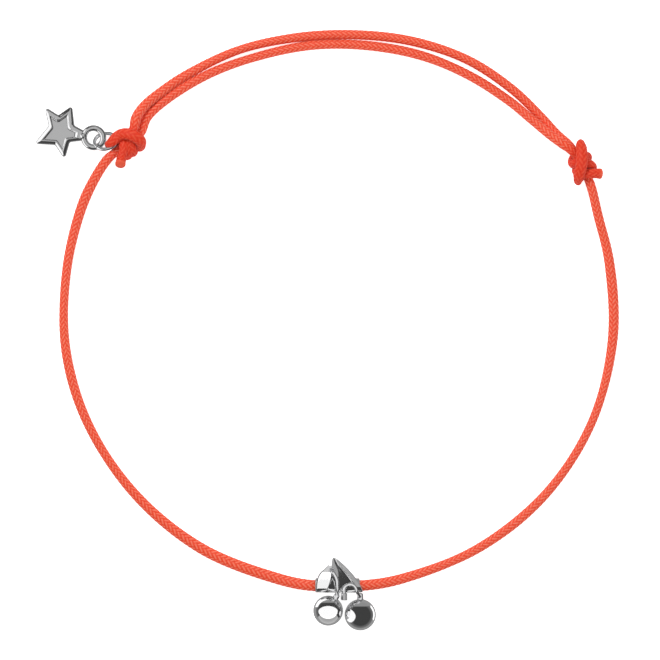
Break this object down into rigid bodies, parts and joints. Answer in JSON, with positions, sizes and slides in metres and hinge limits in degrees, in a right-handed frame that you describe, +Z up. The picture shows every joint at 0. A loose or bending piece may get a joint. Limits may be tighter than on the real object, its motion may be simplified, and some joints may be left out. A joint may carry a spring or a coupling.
{
  "type": "rope bracelet",
  "caption": "Braided cord bracelet that closes with two sliding knots, with a leaf-and-cherries charm hung on the cord and a small star tag tied into one knot.",
  "frame": {"origin": "middle of the loop, on the plane that the bracelet lies on", "axes": "+Z up from that plane through the loop, +Y from the charm towards the doubled part of the cord, +X to the right knot's side"},
  "size_m": [0.0699, 0.0721, 0.0041],
  "materials": {
    "cord": "round sixteen-strand braid of shiny synthetic yarn, coral red",
    "silver": "polished silver"
  },
  "bodies": {
    "root": {"cord": "cord", "left_knot": "cord", "right_knot": "cord", "leaf_bail": "silver", "left_cherry": "silver", "right_cherry": "silver", "star_tag": "silver", "jump_ring": "silver"}
  },
  "joints": []
}
